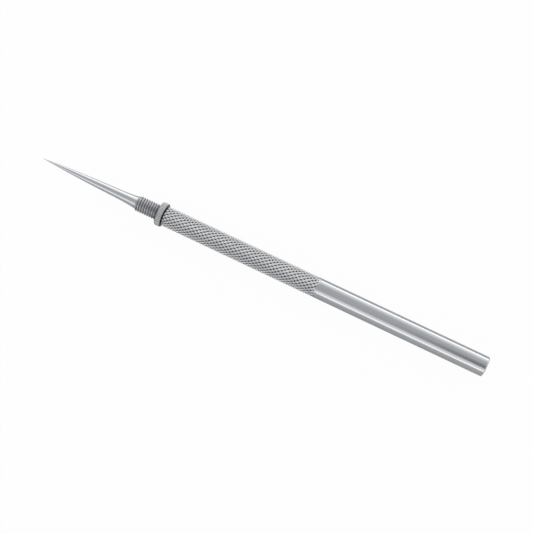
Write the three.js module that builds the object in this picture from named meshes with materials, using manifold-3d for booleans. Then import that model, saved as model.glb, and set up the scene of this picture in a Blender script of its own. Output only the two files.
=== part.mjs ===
// A sewing stiletto: a sharp turned point on a threaded stud, a thin lock nut and a knurled handle.
// Millimetres. The tool lies along X with its point towards +X. The origin is the centre of the butt's flat face.
import * as THREE from 'three';
import { mergeVertices } from 'three/addons/utils/BufferGeometryUtils.js';
import Module from 'manifold-3d';

const wasm = await Module();
wasm.setup();

// Handle bar
const handleLength = 107.2;
const handleDiameter = 6.3;
const buttRounding = 0.45;
const mouthChamfer = 0.4;
const boreDepth = 18;
const drillPointAngle = 118;

// Diamond knurl of the grip, rolled from the mouth backwards
const gripLength = 51.7;
const knurlLeftStarts = 18;
const knurlRightStarts = 13;
const knurlPitch = 1.6;
const knurlRise = 0.06;
const knurlDepth = 0.36;
const knurlSpareCells = 2;

// Thread of the stud, metric and right-handed
const threadDiameter = 5;
const threadPitch = 0.8;
const threadLength = 20;
const threadShown = 7.5;
const threadRunout = 0.9;
const threadClearance = 0.09;
const studChamfer = 0.5;

// Form of a metric thread: its depth and the width of its groove as shares of the pitch, and its flank angle
const threadDepthShare = 0.6134;
const grooveWidthShare = 0.875;
const threadFlankAngle = 30;

// Lock nut, hand-tight against the handle
const nutDiameter = 7.6;
const nutThickness = 2;
const nutSeatGap = 0.05;
const nutFlutes = 40;
const nutFluteDepth = 0.14;
const nutFrontChamfer = 0.45;
const nutRearChamfer = 0.2;
const nutCountersink = 0.25;

// Point of the blade: a long bullet-shaped taper, a slim neck and a flare that grows into the thread
const pointLength = 33.25;
const pointTipDiameter = 0.1;
const neckDistance = 24.6;
const neckDiameter = 2.8;
const neckSlope = 0.03;
const tipSlope = 0.09;
const flareDiameter = 4.1;
const flareSlope = 0.2;

// Fineness of the round surfaces
const barFacets = 48;
const threadFacets = 24;
const curveSteps = 9;
const roundingSteps = 4;

// How far a cutting tool reaches past the surface that it cuts
const toolOvershoot = 0.05;

// Places along the axis
const mouthX = handleLength;
const gripStartX = mouthX - gripLength;
const nutRearX = mouthX + nutSeatGap;
const nutFrontX = nutRearX + nutThickness;
const threadFrontX = nutFrontX + threadShown;
const studEndX = threadFrontX - threadLength;
const tipX = threadFrontX + pointLength;

// Radii and heights that follow from the sizes above
const barRadius = handleDiameter / 2;
const crestRadius = threadDiameter / 2;
const threadDepth = threadDepthShare * threadPitch;
const rootRadius = crestRadius - threadDepth;
const boreRadius = crestRadius + threadClearance;
const flankSlope = Math.tan(THREE.MathUtils.degToRad(threadFlankAngle));
const grooveHalfWidth = (grooveWidthShare * threadPitch) / 2;
const rootHalfWidth = grooveHalfWidth - threadDepth * flankSlope;

// A closed geometry as a solid that can be joined and cut
function toSolid(geometry) {
  const bare = geometry.clone();
  bare.deleteAttribute('normal');
  bare.deleteAttribute('uv');
  const merged = mergeVertices(bare, 1e-5);
  const corners = merged.index.array;
  const triVerts = [];
  for (let k = 0; k < corners.length; k += 3) {
    const [a, b, c] = [corners[k], corners[k + 1], corners[k + 2]];
    if (a !== b && b !== c && c !== a) triVerts.push(a, b, c);
  }
  return new wasm.Manifold(new wasm.Mesh({
    numProp: 3,
    vertProperties: Float32Array.from(merged.attributes.position.array),
    triVerts: Uint32Array.from(triVerts),
  }));
}

// A finished solid as a named mesh
function toMesh(name, solid, material) {
  const { vertProperties, triVerts } = solid.getMesh();
  const geometry = new THREE.BufferGeometry();
  geometry.setAttribute('position', new THREE.BufferAttribute(vertProperties, 3));
  geometry.setIndex(new THREE.BufferAttribute(triVerts, 1));
  geometry.computeVertexNormals();
  const mesh = new THREE.Mesh(geometry, material);
  mesh.name = name;
  return mesh;
}

// A solid of revolution about X. The outline is [radius, x] pairs that run from the axis back to the axis.
function turned(outline, facets) {
  const points = outline.map(([radius, x]) => new THREE.Vector2(radius, x));
  return toSolid(new THREE.LatheGeometry(points, facets).rotateZ(-Math.PI / 2));
}

// A triangle mesh from corner positions and corner numbers
function fromCorners(corners, triangles) {
  const geometry = new THREE.BufferGeometry();
  geometry.setAttribute('position', new THREE.Float32BufferAttribute(corners.flat(), 3));
  geometry.setIndex(triangles.flat());
  return geometry;
}

function onCylinder(radius, x, turns) {
  const angle = turns * 2 * Math.PI;
  return [x, radius * Math.cos(angle), radius * Math.sin(angle)];
}

// The tool that cuts the thread: a sharp-sided section wound along a right-hand helix. Over the last part
// of a turn it backs away from the axis, so the groove grows shallow and runs out in the flare.
function threadCutter() {
  const outerRadius = crestRadius + toolOvershoot;
  const outerHalfWidth = grooveHalfWidth + toolOvershoot * flankSlope;
  const section = [
    [rootRadius, -rootHalfWidth],
    [rootRadius, rootHalfWidth],
    [outerRadius, outerHalfWidth],
    [outerRadius, -outerHalfWidth],
  ];
  const turns = threadLength / threadPitch + 1;
  const steps = Math.round(turns * threadFacets);
  const corners = [];
  const triangles = [];
  for (let step = 0; step <= steps; step += 1) {
    const turn = step / threadFacets;
    const left = Math.max(0, turn - (turns - threadRunout)) / threadRunout;
    for (const [radius, offset] of section) {
      const x = studEndX - threadPitch + turn * threadPitch + offset;
      corners.push(onCylinder(radius + left * threadDepth, x, turn));
    }
  }
  const sides = section.length;
  for (let step = 0; step < steps; step += 1) {
    for (let side = 0; side < sides; side += 1) {
      const a = step * sides + side;
      const b = step * sides + ((side + 1) % sides);
      triangles.push([a, b, b + sides], [a, b + sides, a + sides]);
    }
  }
  const last = steps * sides;
  triangles.push([0, 2, 1], [0, 3, 2], [last, last + 1, last + 2], [last, last + 2, last + 3]);
  return toSolid(fromCorners(corners, triangles));
}

// The blade's outline from the sharp tip back to the end of the stud
function bladeOutline() {
  const outline = new THREE.Path();
  const tip = [pointTipDiameter / 2, tipX];
  const neck = [neckDiameter / 2, tipX - neckDistance];
  const flare = [flareDiameter / 2, threadFrontX];
  const meeting = (from, fromSlope, to, toSlope) => {
    const run = (to[0] - from[0] - toSlope * (from[1] - to[1])) / (fromSlope - toSlope);
    return [from[0] + fromSlope * run, from[1] - run];
  };
  outline.moveTo(...tip);
  outline.quadraticCurveTo(...meeting(tip, tipSlope, neck, neckSlope), ...neck);
  outline.quadraticCurveTo(...meeting(neck, neckSlope, flare, flareSlope), ...flare);
  const crestStep = crestRadius - flareDiameter / 2;
  return [
    [0, tipX],
    ...outline.getPoints(curveSteps).map((p) => [p.x, p.y]),
    [crestRadius, threadFrontX - crestStep],
    [crestRadius, studEndX + studChamfer],
    [crestRadius - studChamfer, studEndX],
    [0, studEndX],
  ].reverse();
}

function makeBlade() {
  return turned(bladeOutline(), threadFacets).subtract(threadCutter());
}

function makeLockNut() {
  const outer = nutDiameter / 2;
  const rim = new THREE.Shape();
  for (let k = 0; k < 2 * nutFlutes; k += 1) {
    const angle = (k / nutFlutes) * Math.PI;
    const radius = k % 2 ? outer - nutFluteDepth : outer;
    const corner = [radius * Math.cos(angle), radius * Math.sin(angle)];
    if (k === 0) rim.moveTo(...corner);
    else rim.lineTo(...corner);
  }
  rim.closePath();
  const disc = new THREE.ExtrudeGeometry(rim, { depth: nutThickness, bevelEnabled: false });
  const over = nutFluteDepth;
  const edges = turned([
    [0, nutRearX],
    [outer - nutRearChamfer, nutRearX],
    [outer + over, nutRearX + nutRearChamfer + over],
    [outer + over, nutFrontX - nutFrontChamfer - over],
    [outer - nutFrontChamfer, nutFrontX],
    [0, nutFrontX],
  ], 2 * nutFlutes);
  const mouth = boreRadius + nutCountersink;
  const bore = turned([
    [0, nutRearX - nutThickness],
    [mouth + nutThickness, nutRearX - nutThickness],
    [boreRadius, nutRearX + nutCountersink],
    [boreRadius, nutFrontX - nutCountersink],
    [mouth + nutThickness, nutFrontX + nutThickness],
    [0, nutFrontX + nutThickness],
  ], threadFacets);
  return toSolid(disc.rotateY(Math.PI / 2).translate(nutRearX, 0, 0)).intersect(edges).subtract(bore);
}

// The rolled diamonds. Two families of grooves, one left-handed and one right-handed, cross at the pits, and
// a pyramid stands in each mesh between them. Groove i of the first family and groove j of the second meet
// at one corner of a slanted grid, which closes on itself after a full turn. Past the grip's rear end
// the grid dips under the bar, so the grooves run out there.
function knurledGrip() {
  const starts = knurlLeftStarts + knurlRightStarts;
  const crest = barRadius + knurlRise;
  const corners = [];
  const numbers = new Map();
  const place = (i, j) => (knurlPitch * (i * knurlRightStarts + j * knurlLeftStarts)) / starts;
  const corner = (i, j) => {
    const wraps = Math.floor(i / knurlLeftStarts);
    const [row, column] = [i - wraps * knurlLeftStarts, j + wraps * knurlRightStarts];
    const key = `${row},${column}`;
    if (!numbers.has(key)) {
      const x = gripStartX + place(row, column);
      const height = Number.isInteger(row) ? crest - knurlDepth : crest;
      const radius = x < gripStartX ? barRadius - knurlRise : height;
      numbers.set(key, corners.length);
      corners.push(onCylinder(radius, x, (row - column) / starts));
    }
    return numbers.get(key);
  };
  const triangles = [];
  for (let i = 0; i < knurlLeftStarts; i += 1) {
    const along = (x) => Math.ceil((x / knurlPitch * starts - i * knurlRightStarts) / knurlLeftStarts);
    const end = along(gripLength) + knurlSpareCells;
    for (let j = along(0) - knurlSpareCells; j < end; j += 1) {
      const ring = [corner(i, j), corner(i, j + 1), corner(i + 1, j + 1), corner(i + 1, j)];
      const top = corner(i + 0.5, j + 0.5);
      ring.forEach((number, k) => triangles.push([top, ring[(k + 1) % 4], number]));
    }
  }
  return closedOnAxis(corners, triangles);
}

// Closes a tube around X: each open edge gets a triangle to the axis at the tube's nearer end
function closedOnAxis(corners, triangles) {
  const edges = new Set(triangles.flatMap(([a, b, c]) => [`${a},${b}`, `${b},${c}`, `${c},${a}`]));
  const xs = corners.map(([x]) => x);
  const low = Math.min(...xs);
  const high = Math.max(...xs);
  const hub = (x) => (x < (low + high) / 2 ? corners.length : corners.length + 1);
  const caps = [];
  for (const edge of edges) {
    const [a, b] = edge.split(',').map(Number);
    if (!edges.has(`${b},${a}`)) caps.push([b, a, hub(xs[a])]);
  }
  return toSolid(fromCorners([...corners, [low, 0, 0], [high, 0, 0]], [...triangles, ...caps]));
}

function makeHandle() {
  const pitRadius = barRadius + knurlRise - knurlDepth;
  const coreRadius = (pitRadius + boreRadius) / 2;
  const butt = [];
  for (let k = 0; k <= roundingSteps; k += 1) {
    const angle = (k / roundingSteps) * (Math.PI / 2);
    butt.push([
      barRadius - buttRounding * (1 - Math.sin(angle)),
      buttRounding * (1 - Math.cos(angle)),
    ]);
  }
  const bar = turned([
    [0, 0],
    ...butt,
    [barRadius, gripStartX],
    [coreRadius, gripStartX],
    [coreRadius, mouthX],
    [0, mouthX],
  ], barFacets);
  const over = mouthChamfer + knurlRise;
  const envelope = turned([
    [0, -over],
    [barRadius + over, -over],
    [barRadius + over, mouthX - mouthChamfer - over],
    [barRadius - mouthChamfer, mouthX],
    [0, mouthX],
  ], barFacets);
  const boreEndX = mouthX - boreDepth;
  const drillPoint = boreRadius / Math.tan(THREE.MathUtils.degToRad(drillPointAngle / 2));
  const bore = turned([
    [0, boreEndX - drillPoint],
    [boreRadius, boreEndX],
    [boreRadius, mouthX + toolOvershoot],
    [0, mouthX + toolOvershoot],
  ], threadFacets);
  return bar.add(knurledGrip()).intersect(envelope).subtract(bore);
}

const polishedSteel = new THREE.MeshStandardMaterial({ color: 0xb9bdc3, roughness: 0.22, metalness: 1 });
const turnedSteel = new THREE.MeshStandardMaterial({ color: 0xaeb2b8, roughness: 0.28, metalness: 1 });
const nutSteel = new THREE.MeshStandardMaterial({ color: 0x9fa2a7, roughness: 0.4, metalness: 1 });

const stiletto = new THREE.Group();
stiletto.add(toMesh('handle', makeHandle(), polishedSteel));
stiletto.add(toMesh('lock_nut', makeLockNut(), nutSteel));
stiletto.add(toMesh('blade', makeBlade(), turnedSteel));

export default stiletto;
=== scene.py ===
import math
import bmesh
import bpy
from mathutils import Matrix, Vector


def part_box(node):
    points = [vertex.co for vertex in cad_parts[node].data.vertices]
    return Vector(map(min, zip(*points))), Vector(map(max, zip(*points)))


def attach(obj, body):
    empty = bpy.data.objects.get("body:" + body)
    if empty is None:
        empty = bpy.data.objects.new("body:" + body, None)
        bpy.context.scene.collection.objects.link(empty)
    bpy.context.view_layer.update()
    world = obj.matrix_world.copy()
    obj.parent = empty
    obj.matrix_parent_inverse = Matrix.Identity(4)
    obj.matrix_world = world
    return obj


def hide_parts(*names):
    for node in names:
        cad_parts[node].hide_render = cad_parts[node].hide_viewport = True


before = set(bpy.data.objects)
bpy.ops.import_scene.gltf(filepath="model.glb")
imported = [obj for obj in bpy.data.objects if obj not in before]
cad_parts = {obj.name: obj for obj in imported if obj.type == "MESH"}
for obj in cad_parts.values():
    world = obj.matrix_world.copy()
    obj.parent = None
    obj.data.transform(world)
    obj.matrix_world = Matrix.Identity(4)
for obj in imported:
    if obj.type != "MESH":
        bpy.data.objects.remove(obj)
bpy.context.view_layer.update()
print("frame loaded:", sorted(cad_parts))

# Modelling is done in millimetres, and a finished piece is brought to metres
mm = 0.001
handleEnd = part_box("handle")[1].x / mm
handleRadius = 3.15
nutRear, nutFront = [corner.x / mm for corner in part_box("lock_nut")]
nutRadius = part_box("lock_nut")[1].y / mm
studEnd, tipEnd = [corner.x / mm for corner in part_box("blade")]

thread = {
    "pitch": 0.8,
    "crest": 2.5,
    "depth": 0.49,
    "shown": 7.5,
    "flank": math.radians(30),
    "facets": 96,
}
threadFront = nutFront + thread["shown"]


# Small tools for working in edit mode

def nothingSelected():
    if bpy.context.object and bpy.context.object.mode == "EDIT":
        bpy.ops.object.mode_set(mode="OBJECT")
    bpy.ops.object.select_all(action="DESELECT")


def newPiece(name):
    # the primitive that was just added gets its name, with its place moved into its mesh
    piece = bpy.context.object
    piece.name = piece.data.name = name
    bpy.ops.object.transform_apply(location=True, rotation=True, scale=True)
    return piece


def choose(verts=None, faces=None):
    # selects the vertices or the faces that a test picks, in edit mode
    mesh = bpy.context.object.data
    work = bmesh.from_edit_mesh(mesh)
    bpy.ops.mesh.select_mode(type="FACE" if faces else "VERT")
    bpy.ops.mesh.select_all(action="DESELECT")
    if faces:
        for face in work.faces:
            face.select_set(faces(face.calc_center_median()))
    else:
        for vert in work.verts:
            vert.select_set(verts(vert.co))
        work.select_flush(True)
    bmesh.update_edit_mesh(mesh)


def reshape(piece, rule):
    # moves every vertex to where the rule puts it
    for vert in piece.data.vertices:
        vert.co = rule(vert.co)


def applyAll(piece):
    bpy.context.view_layer.objects.active = piece
    for modifier in list(piece.modifiers):
        bpy.ops.object.modifier_apply(modifier=modifier.name)


def extrudeLoop(stations):
    # the selected loop around X is pulled along (x, radius) stations; the first one is where it is now
    x, radius = stations[0]
    for nextX, nextRadius in stations[1:]:
        bpy.ops.mesh.extrude_region_move(TRANSFORM_OT_translate={"value": (nextX - x, 0, 0)})
        if nextRadius:
            ratio = nextRadius / radius
            bpy.ops.transform.resize(value=(1, ratio, ratio), center_override=(nextX, 0, 0))
        else:
            bpy.ops.mesh.merge(type="CENTER")
        x, radius = nextX, nextRadius


def weld(distance=1e-4):
    bpy.ops.mesh.select_all(action="SELECT")
    bpy.ops.mesh.remove_doubles(threshold=distance)


def outwards():
    bpy.ops.mesh.select_all(action="SELECT")
    bpy.ops.mesh.normals_make_consistent(inside=False)


def finishPiece(piece, body, node, smoothAngle=32):
    nothingSelected()
    piece.select_set(True)
    bpy.context.view_layer.objects.active = piece
    bpy.ops.object.shade_smooth_by_angle(angle=math.radians(smoothAngle))
    piece.data.transform(Matrix.Scale(mm, 4))
    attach(piece, body)
    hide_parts(node)
    triangles = sum(len(face.vertices) - 2 for face in piece.data.polygons)
    print("made", piece.name, triangles, "triangles")
    return piece


def around(x, radius, angle):
    return Vector((x, radius * math.cos(angle), radius * math.sin(angle)))


# Shader nodes

class Wire:
    # one output socket; arithmetic on it adds Math nodes
    def __init__(self, bench, socket):
        self.bench = bench
        self.socket = socket

    def maths(self, operation, first, second):
        return self.bench.node("ShaderNodeMath", {"operation": operation}, {0: first, 1: second})

    def __add__(self, other):
        return self.maths("ADD", self, other)

    __radd__ = __add__

    def __sub__(self, other):
        return self.maths("SUBTRACT", self, other)

    def __rsub__(self, other):
        return self.maths("SUBTRACT", other, self)

    def __mul__(self, other):
        return self.maths("MULTIPLY", self, other)

    __rmul__ = __mul__

    def __truediv__(self, other):
        return self.maths("DIVIDE", self, other)

    def __pow__(self, other):
        return self.maths("POWER", self, other)

    def limit(self):
        return self.bench.node("ShaderNodeClamp", {}, {"Value": self, "Min": 0.0, "Max": 1.0})


class Bench:
    # the node tree of one material, lamp or world
    def __init__(self, owner):
        owner.use_nodes = True
        self.tree = owner.node_tree
        self.tree.nodes.clear()

    def node(self, kind, settings, inputs, output=0):
        made = self.tree.nodes.new(kind)
        for name, value in settings.items():
            setattr(made, name, value)
        for name, value in inputs.items():
            if isinstance(value, Wire):
                self.tree.links.new(value.socket, made.inputs[name])
            else:
                made.inputs[name].default_value = value
        return Wire(self, made.outputs[output]) if made.outputs else None


smearColour = (0.6, 0.62, 0.66, 1)
smearFrom = 0.45
endFade = 0.25


def steel(name, look, lowPlaces):
    # stainless steel on a turned piece: rings of tool marks, faint smears, and a knurled or threaded stretch
    # that is duller than the rest, can be painted lighter against the shading among its ridges, and has
    # painted shade where lowPlaces says
    material = bpy.data.materials.new(name)
    bench = Bench(material)
    place = bench.node("ShaderNodeTexCoord", {}, {}, "Object")
    x, y, z = [bench.node("ShaderNodeSeparateXYZ", {}, {"Vector": place}, axis) for axis in "XYZ"]
    radius = (y * y + z * z) ** 0.5
    # tool marks run round the axis, so their noise changes along the axis and with the radius only
    ringPlace = bench.node(
        "ShaderNodeCombineXYZ", {}, {"X": x * look["ringScale"], "Y": radius * look["ringScale"]},
    )
    rings = bench.node("ShaderNodeTexNoise", {}, {"Vector": ringPlace, "Scale": 1.0, "Detail": 2.0})
    smears = bench.node(
        "ShaderNodeTexNoise", {}, {"Vector": place, "Scale": look["smearScale"], "Detail": 3.0},
    )
    grain = bench.node(
        "ShaderNodeTexNoise", {}, {"Vector": place, "Scale": look["grainScale"], "Detail": 2.0},
    )
    formed = ((x / mm - look["start"]) / look["fade"]).limit()
    formed = formed * ((look["end"] - x / mm) / endFade).limit()
    deep = formed * lowPlaces(x / mm, y, z, radius / mm, look)
    plain = bench.node(
        "ShaderNodeMix", {"data_type": "RGBA"},
        {0: formed, 6: (*look["colour"], 1), 7: (*look["formedColour"], 1)}, 2,
    )
    # painted shade: the colour is darkened in the low places that deep marks
    colour = bench.node(
        "ShaderNodeMix", {"data_type": "RGBA"}, {0: deep, 6: plain, 7: (*look["paintedShadeColour"], 1)}, 2,
    )
    stain = bench.node(
        "ShaderNodeMix", {"data_type": "RGBA", "blend_type": "MULTIPLY"},
        {0: (smears - smearFrom).limit() * look["smear"], 6: colour, 7: smearColour}, 2,
    )
    rough = look["rough"] + formed * look["formedRough"] + deep * look["lowRough"]
    rough = rough + (smears - 0.5) * look["roughDrift"]
    height = rings * look["rings"] + grain * look["grain"]
    bump = bench.node(
        "ShaderNodeBump", {},
        {"Height": height, "Strength": 1.0, "Distance": mm}, "Normal",
    )
    shader = bench.node(
        "ShaderNodeBsdfPrincipled", {},
        {"Base Color": stain, "Metallic": 1.0, "Roughness": rough, "Normal": bump}, "BSDF",
    )
    bench.node("ShaderNodeOutputMaterial", {}, {"Surface": shader})
    return material


def belowCrest(x, y, z, radius, look):
    # a thread's or a flute's low places, by their distance from the axis, where steel() paints shade
    return ((look["high"] - radius) * (1 / (look["high"] - look["low"]))).limit() ** look["fallOff"]


def knurlPits(x, y, z, radius, look):
    # painted shade: dark spots where the grooves of the two knurling wheels cross, and painted shade along
    # the left-hand grooves
    turns = z.maths("ARCTAN2", z, y) / (2 * math.pi) - handle["latticeTurn"]
    along = (x - gripStart - handle["latticeAt"]) / handle["pitch"]
    left = 1 - 2 * along.maths("PINGPONG", along + handle["leftStarts"] * turns, 0.5)
    right = 1 - 2 * along.maths("PINGPONG", along - handle["rightStarts"] * turns, 0.5)
    dots = (left * right) ** look["dotFocus"] * look["dots"]
    lines = left ** look["lineFocus"] * look["lines"]
    return (dots + lines).limit()


# Handle

handle = {
    "radius": 3.15,
    "buttRounding": 0.45,
    "buttSteps": 8,
    "mouthChamfer": 0.4,
    "gripLength": 52.4,
    "pitch": 1.6,
    "leftStarts": 16,
    "rightStarts": 15,
    "latticeAt": 0.29,
    "latticeTurn": -0.015,
    "grooveFloor": 2.86,
    "pitRadius": 2.92,
    "crestRadius": 3.21,
    "pitSink": 0.12,
    "flankWidth": 0.25,
    "flankHeight": 0.27,
    "crownWidth": 0.1,
    "crownHeight": 0.09,
    "runout": 1.7,
    "boreRadius": 2.59,
    "boreDepth": 18,
    "drillAngle": 118,
    "spareRows": 3,
    "spareLength": 2,
    "seamShare": 0.1,
    "runoutCuts": 6,
}
gripStart = handleEnd - handle["gripLength"]


def knurlCell():
    # the flat sheet of diamonds: each grid cell lies between two left-hand and two right-hand grooves
    starts = handle["leftStarts"] + handle["rightStarts"]
    crossings = math.ceil(handle["gripLength"] / handle["pitch"])
    rows = crossings + handle["leftStarts"] + handle["spareRows"]
    columns = crossings + handle["rightStarts"] + handle["spareRows"]
    nothingSelected()
    bpy.ops.mesh.primitive_grid_add(x_subdivisions=rows, y_subdivisions=columns, size=1)
    piece = newPiece("stiletto_handle")
    turn = 2 * math.pi * handle["radius"]

    def slant(co):
        i = round((co.x + 0.5) * rows) - 1
        j = round((co.y + 0.5) * columns) - handle["rightStarts"] - 1
        along = handle["pitch"] * (handle["rightStarts"] * i + handle["leftStarts"] * j) / starts
        return Vector((gripStart + handle["latticeAt"] + along, turn * (i - j) / starts, 0))

    reshape(piece, slant)
    bpy.ops.object.mode_set(mode="EDIT")
    first = turn * handle["seamShare"] / starts
    spare = handle["spareLength"]

    def outside(middle):
        past = middle.x - gripStart
        return not first < middle.y < first + turn or not -spare < past < handle["gripLength"] + spare

    choose(faces=outside)
    bpy.ops.mesh.delete(type="FACE")
    outwards()
    if bmesh.from_edit_mesh(piece.data).faces[0].normal.z < 0:
        bpy.ops.mesh.flip_normals()
    bpy.ops.mesh.inset(thickness=handle["flankWidth"], depth=handle["flankHeight"], use_individual=True)
    bpy.ops.mesh.inset(thickness=handle["crownWidth"], depth=handle["crownHeight"], use_individual=True)
    bpy.ops.object.mode_set(mode="OBJECT")
    return piece


def deepenPits(piece):
    # the rounded diamonds are stretched to their full height, and the crossings of the grooves sink further
    radii = [math.hypot(vert.co.y, vert.co.z) for vert in piece.data.vertices]
    lowest, highest = min(radii), max(radii)
    stretch = (handle["crestRadius"] - handle["pitRadius"]) / (highest - lowest)

    def form(co):
        radius = math.hypot(co.y, co.z)
        turns = math.atan2(co.z, co.y) / (2 * math.pi) - handle["latticeTurn"]
        along = (co.x - gripStart - handle["latticeAt"]) / handle["pitch"]
        crossing = 1
        for place in (along + handle["leftStarts"] * turns, along - handle["rightStarts"] * turns):
            crossing *= 1 - 2 * abs(place - round(place))
        wanted = handle["pitRadius"] + (radius - lowest) * stretch - handle["pitSink"] * crossing
        return Vector((co.x, co.y * wanted / radius, co.z * wanted / radius))

    reshape(piece, form)


def makeHandle():
    piece = knurlCell()
    turn = 2 * math.pi * handle["radius"]
    reshape(piece, lambda co: around(
        co.x, handle["grooveFloor"] + co.z, 2 * math.pi * (co.y / turn + handle["latticeTurn"]),
    ))
    bpy.ops.object.mode_set(mode="EDIT")
    weld()
    bpy.ops.object.mode_set(mode="OBJECT")
    piece.modifiers.new("round", "SUBSURF").levels = 1
    applyAll(piece)
    deepenPits(piece)
    bpy.ops.object.mode_set(mode="EDIT")
    cuts = [gripStart + handle["runout"] * k / handle["runoutCuts"] for k in range(1, handle["runoutCuts"])]
    cuts += [handleEnd - handle["mouthChamfer"] * k / 4 for k in (0.5, 1, 2, 3, 4)]
    for place in cuts:
        bpy.ops.mesh.select_all(action="SELECT")
        bpy.ops.mesh.bisect(plane_co=(place, 0, 0), plane_no=(1, 0, 0))
    bpy.ops.mesh.select_all(action="SELECT")
    bpy.ops.mesh.bisect(plane_co=(gripStart, 0, 0), plane_no=(1, 0, 0), clear_inner=True)
    bpy.ops.mesh.select_all(action="SELECT")
    bpy.ops.mesh.bisect(plane_co=(handleEnd, 0, 0), plane_no=(1, 0, 0), clear_outer=True)
    bpy.ops.object.mode_set(mode="OBJECT")

    def ends(co):
        # the rolling fades out at the rear and the mouth is chamfered
        radius = math.hypot(co.y, co.z)
        share = min(1, max(0, (co.x - gripStart) / handle["runout"]))
        wanted = handle["radius"] + (radius - handle["radius"]) * share
        wanted = min(wanted, handle["radius"] - handle["mouthChamfer"] + handleEnd - co.x)
        return Vector((co.x, co.y * wanted / radius, co.z * wanted / radius))

    reshape(piece, ends)
    bpy.ops.object.mode_set(mode="EDIT")
    # the smooth rear and the rounded butt
    choose(verts=lambda co: abs(co.x - gripStart) < 1e-4)
    r, rounding = handle["radius"], handle["buttRounding"]
    stations = [(gripStart, r), (gripStart - 0.06, r), (gripStart - 0.3, r), (rounding + 0.3, r)]
    stations += [(rounding + 0.05, r)]
    for k in range(handle["buttSteps"] + 1):
        angle = math.pi / 2 * k / handle["buttSteps"]
        stations.append((rounding * (1 - math.sin(angle)), r - rounding * (1 - math.cos(angle))))
    stations += [(0, r - rounding - 0.05), (0, r * 0.6), (0, r * 0.3), (0, 0)]
    extrudeLoop(stations)
    # the tapped hole
    choose(verts=lambda co: abs(co.x - handleEnd) < 1e-4)
    rim = handle["radius"] - handle["mouthChamfer"]
    bore = handle["boreRadius"]
    boreEnd = handleEnd - handle["boreDepth"]
    drillTip = boreEnd - bore / math.tan(math.radians(handle["drillAngle"] / 2))
    extrudeLoop([
        (handleEnd, rim), (handleEnd, rim - 0.04), (handleEnd, bore + 0.05), (handleEnd - 0.05, bore),
        (handleEnd - 0.1, bore), (boreEnd + 0.1, bore), (boreEnd, bore), (drillTip, 0),
    ])
    weld()
    outwards()
    bpy.ops.object.mode_set(mode="OBJECT")
    return finishPiece(piece, "handle", "handle")


# Threads

ridge = {
    "rootSink": 0.03,
    "crestGap": 0.1,
    "halfRoot": 0.36,
    "facets": 48,
    "taperTurns": 0.25,
}


def drawLine(name, points):
    # one vertex of a plane is kept and pulled from point to point
    nothingSelected()
    bpy.ops.mesh.primitive_plane_add(size=1)
    piece = newPiece(name)
    bpy.ops.object.mode_set(mode="EDIT")
    choose(verts=lambda co: co.x > 0 or co.y > 0)
    bpy.ops.mesh.delete(type="VERT")
    bpy.ops.mesh.select_all(action="SELECT")
    bpy.ops.transform.translate(value=(points[0][0] + 0.5, points[0][1] + 0.5, 0))
    for (x, r), (nextX, nextR) in zip(points, points[1:]):
        bpy.ops.mesh.extrude_vertices_move(TRANSFORM_OT_translate={"value": (nextX - x, nextR - r, 0)})
    return piece


def windUp(piece, turns, steps):
    # a right-hand screw of the line about X
    bpy.ops.object.mode_set(mode="OBJECT")
    screw = piece.modifiers.new("screw", "SCREW")
    screw.axis = "X"
    screw.steps = screw.render_steps = steps
    screw.iterations = turns
    screw.screw_offset = thread["pitch"]
    applyAll(piece)


def turnOf(co):
    # how many turns the groove has made when its middle passes nearest to this place
    angle = math.atan2(co.z, co.y) / (2 * math.pi)
    return round((co.x - studEnd) / thread["pitch"] - angle) + angle


def femaleThread(name, firstX, lastX, body, node):
    # the ridge that fills the stud's groove, with its first and last part of a turn tapered away
    wall = handle["boreRadius"] + ridge["rootSink"]
    crest = thread["crest"] - thread["depth"] + ridge["crestGap"]
    halfRoot = ridge["halfRoot"]
    halfCrest = halfRoot - (wall - crest) * math.tan(thread["flank"])
    first = math.ceil((firstX - studEnd) / thread["pitch"])
    turns = math.floor((lastX - studEnd) / thread["pitch"]) - first
    middle = studEnd + first * thread["pitch"]
    piece = drawLine(name, [
        (middle - halfRoot, wall), (middle - halfCrest, crest),
        (middle + halfCrest, crest), (middle + halfRoot, wall),
    ])
    bpy.ops.mesh.select_all(action="SELECT")
    bpy.ops.mesh.edge_face_add()
    bpy.ops.mesh.delete(type="ONLY_FACE")
    windUp(piece, turns, ridge["facets"])

    def taper(co):
        radius = math.hypot(co.y, co.z)
        turn = turnOf(co) - first
        keep = min(1, max(0, turn / ridge["taperTurns"]), max(0, (turns - turn) / ridge["taperTurns"]))
        wanted = wall - (wall - radius) * keep
        return Vector((co.x, co.y * wanted / radius, co.z * wanted / radius))

    reshape(piece, taper)
    bpy.ops.object.mode_set(mode="EDIT")
    weld()
    outwards()
    bpy.ops.object.mode_set(mode="OBJECT")
    return finishPiece(piece, body, node)


# Blade

blade = {
    "tipRadius": 0.05,
    "neckDistance": 24.6,
    "neckRadius": 1.4,
    "neckSlope": 0.03,
    "tipSlope": 0.09,
    "flareRadius": 2.05,
    "flareSlope": 0.2,
    "studChamfer": 0.5,
    "runout": 0.9,
    "curveSteps": 26,
    "crestRounding": 0.03,
}


def pointOutline():
    # from the flare to the tip: two quadratic curves that meet at the neck, in (x, radius)
    tip = (tipEnd, blade["tipRadius"])
    neck = (tipEnd - blade["neckDistance"], blade["neckRadius"])
    flare = (threadFront, blade["flareRadius"])

    def curve(start, startSlope, end, endSlope):
        run = (end[1] - start[1] - endSlope * (start[0] - end[0])) / (startSlope - endSlope)
        bend = (start[0] - run, start[1] + startSlope * run)
        points = []
        for k in range(blade["curveSteps"] + 1):
            t = k / blade["curveSteps"]
            points.append(tuple(
                (1 - t) ** 2 * start[axis] + 2 * t * (1 - t) * bend[axis] + t ** 2 * end[axis]
                for axis in (0, 1)
            ))
        return points

    whole = curve(tip, blade["tipSlope"], neck, blade["neckSlope"])
    whole += curve(neck, blade["neckSlope"], flare, blade["flareSlope"])[1:]
    return whole[::-1]


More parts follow.
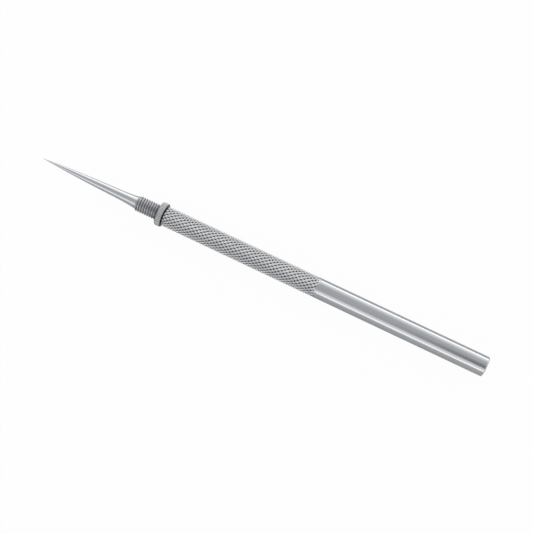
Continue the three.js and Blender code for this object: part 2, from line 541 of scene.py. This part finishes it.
def makeBlade():
    pitch, crest, depth = thread["pitch"], thread["crest"], thread["depth"]
    halfGroove = pitch * 7 / 16
    halfRoot = halfGroove - depth * math.tan(thread["flank"])
    first = studEnd - pitch
    piece = drawLine("stiletto_blade", [
        (first - pitch / 2, crest), (first - halfGroove, crest), (first - halfRoot, crest - depth),
        (first + halfRoot, crest - depth), (first + halfGroove, crest), (first + pitch / 2, crest),
    ])
    choose(verts=lambda co: abs(abs(co.x - first) - halfGroove) < 1e-3)
    bpy.ops.mesh.bevel(offset=blade["crestRounding"], segments=2, affect="VERTICES")
    choose(verts=lambda co: abs(abs(co.x - first) - halfRoot) < 1e-3)
    bpy.ops.mesh.bevel(offset=blade["crestRounding"] * 2, segments=2, affect="VERTICES")
    shownTurns = round((threadFront - studEnd) / pitch)
    windUp(piece, shownTurns + 4, thread["facets"])
    outline = pointOutline()

    def blank(x):
        if x < studEnd + blade["studChamfer"]:
            return crest - blade["studChamfer"] + max(0, x - studEnd)
        if x < threadFront:
            return min(crest, blade["flareRadius"] + threadFront - x)
        for (x0, r0), (x1, r1) in zip(outline, outline[1:]):
            if x < x1:
                return r0 + (r1 - r0) * (x - x0) / (x1 - x0)
        return outline[-1][1]

    def clamp(co):
        # the groove backs out over its last part of a turn, and nothing stands past the turned blank
        radius = math.hypot(co.y, co.z)
        left = max(0, turnOf(co) - (shownTurns - blade["runout"])) / blade["runout"]
        wanted = min(radius + left * depth, blank(co.x))
        return Vector((co.x, co.y * wanted / radius, co.z * wanted / radius))

    bpy.ops.object.mode_set(mode="EDIT")
    weld()
    frontCut = threadFront + 0.3
    edges = (studEnd + blade["studChamfer"], threadFront - (crest - blade["flareRadius"]), threadFront)
    for place in edges:
        bpy.ops.mesh.select_all(action="SELECT")
        bpy.ops.mesh.bisect(plane_co=(place, 0, 0), plane_no=(1, 0, 0))
    bpy.ops.mesh.select_all(action="SELECT")
    bpy.ops.mesh.bisect(plane_co=(studEnd, 0, 0), plane_no=(1, 0, 0), clear_inner=True)
    bpy.ops.mesh.select_all(action="SELECT")
    bpy.ops.mesh.bisect(plane_co=(frontCut, 0, 0), plane_no=(1, 0, 0), clear_outer=True)
    bpy.ops.object.mode_set(mode="OBJECT")
    reshape(piece, clamp)
    bpy.ops.object.mode_set(mode="EDIT")
    choose(verts=lambda co: abs(co.x - frontCut) < 1e-4)
    beyond = [(x, r) for x, r in outline if x > frontCut + 0.1]
    extrudeLoop([(frontCut, blank(frontCut)), *beyond, (tipEnd, blade["tipRadius"] * 0.5), (tipEnd, 0)])
    choose(verts=lambda co: abs(co.x - studEnd) < 1e-4)
    endRadius = crest - blade["studChamfer"]
    extrudeLoop([(studEnd, endRadius), (studEnd, endRadius * 0.8), (studEnd, endRadius * 0.4), (studEnd, 0)])
    weld()
    outwards()
    bpy.ops.object.mode_set(mode="OBJECT")
    return finishPiece(piece, "blade", "blade")


# Lock nut

nut = {
    "flutes": 36,
    "fluteDepth": 0.14,
    "fluteSharpness": 1.3,
    "aroundFlute": 8,
    "frontChamfer": 0.45,
    "frontRound": 0.6,
    "rearChamfer": 0.2,
    "countersink": 0.25,
    "chamferSteps": 5,
}


def makeNut():
    sides = nut["flutes"] * nut["aroundFlute"]
    nothingSelected()
    bpy.ops.mesh.primitive_circle_add(
        vertices=sides, radius=nutRadius, location=(nutRear, 0, 0), rotation=(0, math.pi / 2, 0),
    )
    piece = newPiece("stiletto_nut")
    bpy.ops.object.mode_set(mode="EDIT")
    bpy.ops.mesh.select_all(action="SELECT")
    places = [nutRear + nut["rearChamfer"] * k / nut["chamferSteps"] for k in range(nut["chamferSteps"] + 1)]
    places += [nutRear + 0.45, nutRear + 1, nutFront - 0.7]
    front = nutFront - nut["frontChamfer"]
    places += [front + nut["frontChamfer"] * k / nut["chamferSteps"] for k in range(nut["chamferSteps"] + 1)]
    extrudeLoop([(x, nutRadius) for x in places])
    bpy.ops.object.mode_set(mode="OBJECT")

    def rim(co):
        angle = math.atan2(co.z, co.y)
        swing = abs(math.sin(angle * nut["flutes"] / 2))
        fluted = nutRadius - nut["fluteDepth"] * (1 - swing) ** nut["fluteSharpness"]
        behind = min(1, max(0, 1 - (co.x - nutRear) / nut["rearChamfer"]))
        rear = nutRadius - nut["rearChamfer"] * (1 - math.sqrt(1 - behind ** 2))
        rounding = nut["frontChamfer"]
        past = min(1, max(0, (co.x - nutFront + rounding) / rounding))
        share = nut["frontRound"]
        front = nutRadius - rounding * (1 - math.sqrt(1 - past ** 2) * share - (1 - share) * (1 - past))
        wanted = min(fluted, rear, front)
        return around(co.x, wanted, angle)

    reshape(piece, rim)
    bore = handle["boreRadius"]
    bpy.ops.object.mode_set(mode="EDIT")
    choose(verts=lambda co: abs(co.x - nutFront) < 1e-4)
    face = nutRadius - nut["frontChamfer"]
    mouth = bore + nut["countersink"]
    stations = [(nutFront, face), (nutFront, face - 0.05), (nutFront, mouth + 0.05), (nutFront, mouth)]
    stations += [(nutFront - nut["countersink"], bore), (nutFront - nut["countersink"] - 0.05, bore)]
    extrudeLoop(stations)
    choose(verts=lambda co: abs(co.x - nutRear) < 1e-4)
    face = nutRadius - nut["rearChamfer"]
    stations = [(nutRear, face), (nutRear, face - 0.05), (nutRear, mouth + 0.05), (nutRear, mouth)]
    stations += [(nutRear + nut["countersink"], bore), (nutRear + nut["countersink"] + 0.05, bore)]
    extrudeLoop(stations)
    inner = (nutRear + nut["countersink"] + 0.05, nutFront - nut["countersink"] - 0.05)
    choose(verts=lambda co: math.hypot(co.y, co.z) < bore + 1e-3 and min(abs(co.x - x) for x in inner) < 1e-4)
    bpy.ops.mesh.bridge_edge_loops()
    weld()
    outwards()
    bpy.ops.object.mode_set(mode="OBJECT")
    return finishPiece(piece, "lock_nut", "lock_nut")


handlePiece = makeHandle()
bladePiece = makeBlade()
nutPiece = makeNut()
handleThread = femaleThread(
    "handle_thread", handleEnd - 15, handleEnd - 0.3, "handle", "handle",
)
nutThread = femaleThread("nut_thread", nutRear + 0.2, nutFront - 0.1, "lock_nut", "lock_nut")

# Finishes

polished = {
    "start": gripStart, "fade": 1.2, "end": handleEnd + 1,
    # the knurl is painted lighter than the smooth steel, as painted light against the shading among its
    # facets, and its low places take near-black painted shade
    "colour": (0.50, 0.51, 0.525), "formedColour": (0.64, 0.647, 0.66), "paintedShadeColour": (0.04, 0.041, 0.045),
    "dots": 1.6, "dotFocus": 1.6, "lines": 0.55, "lineFocus": 2.5,
    "rough": 0.16, "formedRough": 0.17, "lowRough": 0.15, "roughDrift": 0.06, "smear": 0.25,
    "ringScale": 9000, "rings": 0.0003, "smearScale": 160, "grainScale": 5200, "grain": 0.0003,
}
turned = {
    "start": studEnd - 1, "fade": 0.25, "end": threadFront, "low": 2.02, "high": 2.42, "fallOff": 1.0,
    # the thread's roots take grey painted shade
    "colour": (0.50, 0.51, 0.53), "formedColour": (0.56, 0.57, 0.585), "paintedShadeColour": (0.24, 0.245, 0.255),
    "rough": 0.2, "formedRough": 0.2, "lowRough": 0.1, "roughDrift": 0.06, "smear": 0.25,
    "ringScale": 12000, "rings": 0.0004, "smearScale": 160, "grainScale": 5200, "grain": 0.0003,
}
satin = {
    "start": nutRear - 1, "fade": 0.25, "end": nutFront + 1, "low": 3.62, "high": 3.79, "fallOff": 1.0,
    # the flutes' bottoms take dark painted shade
    "colour": (0.47, 0.475, 0.49), "formedColour": (0.47, 0.475, 0.49), "paintedShadeColour": (0.16, 0.163, 0.17),
    "rough": 0.3, "formedRough": 0, "lowRough": 0.1, "roughDrift": 0.06, "smear": 0.25,
    "ringScale": 9000, "rings": 0.0001, "smearScale": 300, "grainScale": 5200, "grain": 0.0002,
}
handleSteel = steel("handle_steel", polished, knurlPits)
bladeSteel = steel("blade_steel", turned, belowCrest)
nutSteel = steel("nut_steel", satin, belowCrest)
for piece, material in (
    (handlePiece, handleSteel), (handleThread, handleSteel), (bladePiece, bladeSteel),
    (nutPiece, nutSteel), (nutThread, nutSteel),
):
    piece.data.materials.clear()
    piece.data.materials.append(material)
print("finishes done")

# Floor

floorLook = {
    "size": 1.6,
    "colour": (0.68, 0.68, 0.68),
    "cameraWhite": 0.97,
    "glossWhite": 0.1,
    "toothScale": 900.0,
    "toothHeight": 0.0001,
    "toothStrength": 0.2,
}


def makeFloor():
    # the tool lies on the nut's rim and the butt's edge, so the floor is tilted by a third of a degree
    buttLow = -handle["radius"]
    slope = math.atan2(nutRadius + buttLow, nutRear + nut["rearChamfer"] - handle["buttRounding"])
    nothingSelected()
    bpy.ops.mesh.primitive_plane_add(size=floorLook["size"])
    floor = newPiece("floor")
    floor.data.transform(Matrix.Rotation(slope, 4, "Y"))
    level = (buttLow - handle["buttRounding"] * math.tan(-slope)) * mm
    floor.data.transform(Matrix.Translation((0, 0, level)))
    material = bpy.data.materials.new("floor_paper")
    bench = Bench(material)
    place = bench.node("ShaderNodeTexCoord", {}, {}, "Object")
    tooth = bench.node(
        "ShaderNodeTexNoise", {}, {"Vector": place, "Scale": floorLook["toothScale"], "Detail": 2.0},
    )
    strength, height = floorLook["toothStrength"], floorLook["toothHeight"]
    bump = bench.node(
        "ShaderNodeBump", {}, {"Height": tooth, "Strength": strength, "Distance": height}, "Normal",
    )
    paper = bench.node(
        "ShaderNodeBsdfDiffuse", {}, {"Color": (*floorLook["colour"], 1), "Normal": bump}, "BSDF",
    )
    glow = bench.node("ShaderNodeEmission", {}, {"Color": (1, 1, 1, 1), "Strength": 1.0}, "Emission")
    cameraRay = bench.node("ShaderNodeLightPath", {}, {}, "Is Camera Ray")
    glossyRay = bench.node("ShaderNodeLightPath", {}, {}, "Is Glossy Ray")
    clearRay = bench.node("ShaderNodeLightPath", {}, {}, "Is Transmission Ray")
    share = cameraRay * floorLook["cameraWhite"] + (glossyRay + clearRay) * floorLook["glossWhite"]
    mixed = bench.node("ShaderNodeMixShader", {}, {0: share, 1: paper, 2: glow}, "Shader")
    bench.node("ShaderNodeOutputMaterial", {}, {"Surface": mixed})
    floor.data.materials.append(material)


makeFloor()

# Light and camera

view = {
    "target": 71.96,
    "aside": 0.78,
    "distance": 304.55,
    "buttNearer": math.asin(0.11),
    "lean": math.radians(15),
    "roll": math.radians(25.27),
    "focal": 1000 / 533,
    "sensor": 36,
}


def makeCamera():
    lean, near = view["lean"], view["buttNearer"]
    back = Vector((-math.sin(near), math.cos(near) * math.sin(lean), math.cos(near) * math.cos(lean)))
    along = Vector((-1, 0, 0))
    along = (along - back * along.dot(back)).normalized()
    across = along.cross(back)
    right = along * math.cos(view["roll"]) - across * math.sin(view["roll"])
    up = -along * math.sin(view["roll"]) - across * math.cos(view["roll"])
    centre = Vector((view["target"], 0, 0)) + across * view["aside"]
    data = bpy.data.cameras.new("camera")
    data.sensor_width = view["sensor"]
    data.lens = view["sensor"] * view["focal"]
    data.clip_start = 0.01
    camera = bpy.data.objects.new("camera", data)
    bpy.context.collection.objects.link(camera)
    turn = Matrix((right, up, back)).transposed().to_4x4()
    camera.matrix_world = Matrix.Translation((centre + back * view["distance"]) * mm) @ turn
    bpy.context.scene.camera = camera


def softbox(name, look):
    # an area lamp that faces the middle of the tool, placed by its height above the table in degrees
    data = bpy.data.lights.new(name, "AREA")
    data.shape = "RECTANGLE"
    data.size = look["length"]
    data.size_y = look["width"]
    data.energy = look["radiance"] * 4 * look["length"] * look["width"]
    data.color = lampColour
    lamp = bpy.data.objects.new(name, data)
    bpy.context.collection.objects.link(lamp)
    height, azimuth = math.radians(look["height"]), math.radians(look["azimuth"])
    level = math.cos(height)
    out = Vector((level * math.cos(azimuth), level * math.sin(azimuth), math.sin(height)))
    sideways = Vector((0, 0, 1)).cross(out).normalized()
    turn = Matrix((sideways, out.cross(sideways), out)).transposed().to_4x4()
    middle = Vector((view["target"] * mm, 0, 0))
    lamp.matrix_world = Matrix.Translation(out * look["distance"] + middle) @ turn


lampColour = (1.0, 0.975, 0.95)
lamps = {
    "windowSide": {
        "azimuth": -90, "height": 8, "distance": 0.42, "length": 0.8, "width": 0.11, "radiance": 0.5,
    },
    "tipSide": {
        "azimuth": -52, "height": 34, "distance": 0.46, "length": 0.26, "width": 0.26, "radiance": 0.5,
    },
    "frontSide": {
        "azimuth": 90, "height": 31, "distance": 0.42, "length": 0.8, "width": 0.29, "radiance": 0.38,
    },
    "frontLow": {
        "azimuth": 90, "height": 20, "distance": 0.42, "length": 0.8, "width": 0.12, "radiance": 0.55,
    },
}
for name, look in lamps.items():
    softbox(name, look)

studio = {
    "overhead": 0.7,
    "overheadColour": (0.96, 0.98, 1.0),
    "glow": 1.1,
    "glowColour": (1.0, 0.98, 0.955),
    "glowLow": 2,
    "glowFrom": math.radians(-98),
    "glowSpread": 0.6,
    "dark": 0.6,
    "darkAt": (-0.18, 0.3),
    "darkSize": (0.11, 0.34),
    "darkCore": 1.5,
    "darkHorizon": 9,
}


def makeStudio():
    # an even studio whose walls are lighter low down behind the tool, with a dim patch overhead near the butt
    world = bpy.data.worlds.new("studio")
    bpy.context.scene.world = world
    bench = Bench(world)
    way = bench.node("ShaderNodeTexCoord", {}, {}, "Generated")
    x, y, z = [bench.node("ShaderNodeSeparateXYZ", {}, {"Vector": way}, axis) for axis in "XYZ"]
    # a little over one, so that the root below is never of zero
    level = 1.0001 - z * z
    side = (x * math.cos(studio["glowFrom"]) + y * math.sin(studio["glowFrom"])) / level ** 0.5
    glow = side.limit() ** studio["glowSpread"] * level ** studio["glowLow"] * studio["glow"]
    acrossPatch = (x - studio["darkAt"][0]) / studio["darkSize"][0]
    alongPatch = (y - studio["darkAt"][1]) / studio["darkSize"][1]
    patch = (studio["darkCore"] - acrossPatch * acrossPatch - alongPatch * alongPatch).limit()
    patch = patch * (z * studio["darkHorizon"]).limit()
    above = (1 - patch * studio["dark"]) * studio["overhead"]
    ceiling = bench.node(
        "ShaderNodeBackground", {},
        {"Color": (*studio["overheadColour"], 1), "Strength": above}, "Background",
    )
    walls = bench.node(
        "ShaderNodeBackground", {}, {"Color": (*studio["glowColour"], 1), "Strength": glow}, "Background",
    )
    both = bench.node("ShaderNodeAddShader", {}, {0: ceiling, 1: walls}, "Shader")
    white = bench.node("ShaderNodeBackground", {}, {"Color": (1, 1, 1, 1), "Strength": 1.0}, "Background")
    cameraRay = bench.node("ShaderNodeLightPath", {}, {}, "Is Camera Ray")
    seen = bench.node("ShaderNodeMixShader", {}, {0: cameraRay, 1: both, 2: white}, "Shader")
    bench.node("ShaderNodeOutputWorld", {}, {"Surface": seen})


makeStudio()
makeCamera()
bpy.context.scene.view_settings.view_transform = "Standard"
print("stage, lamps and camera done")
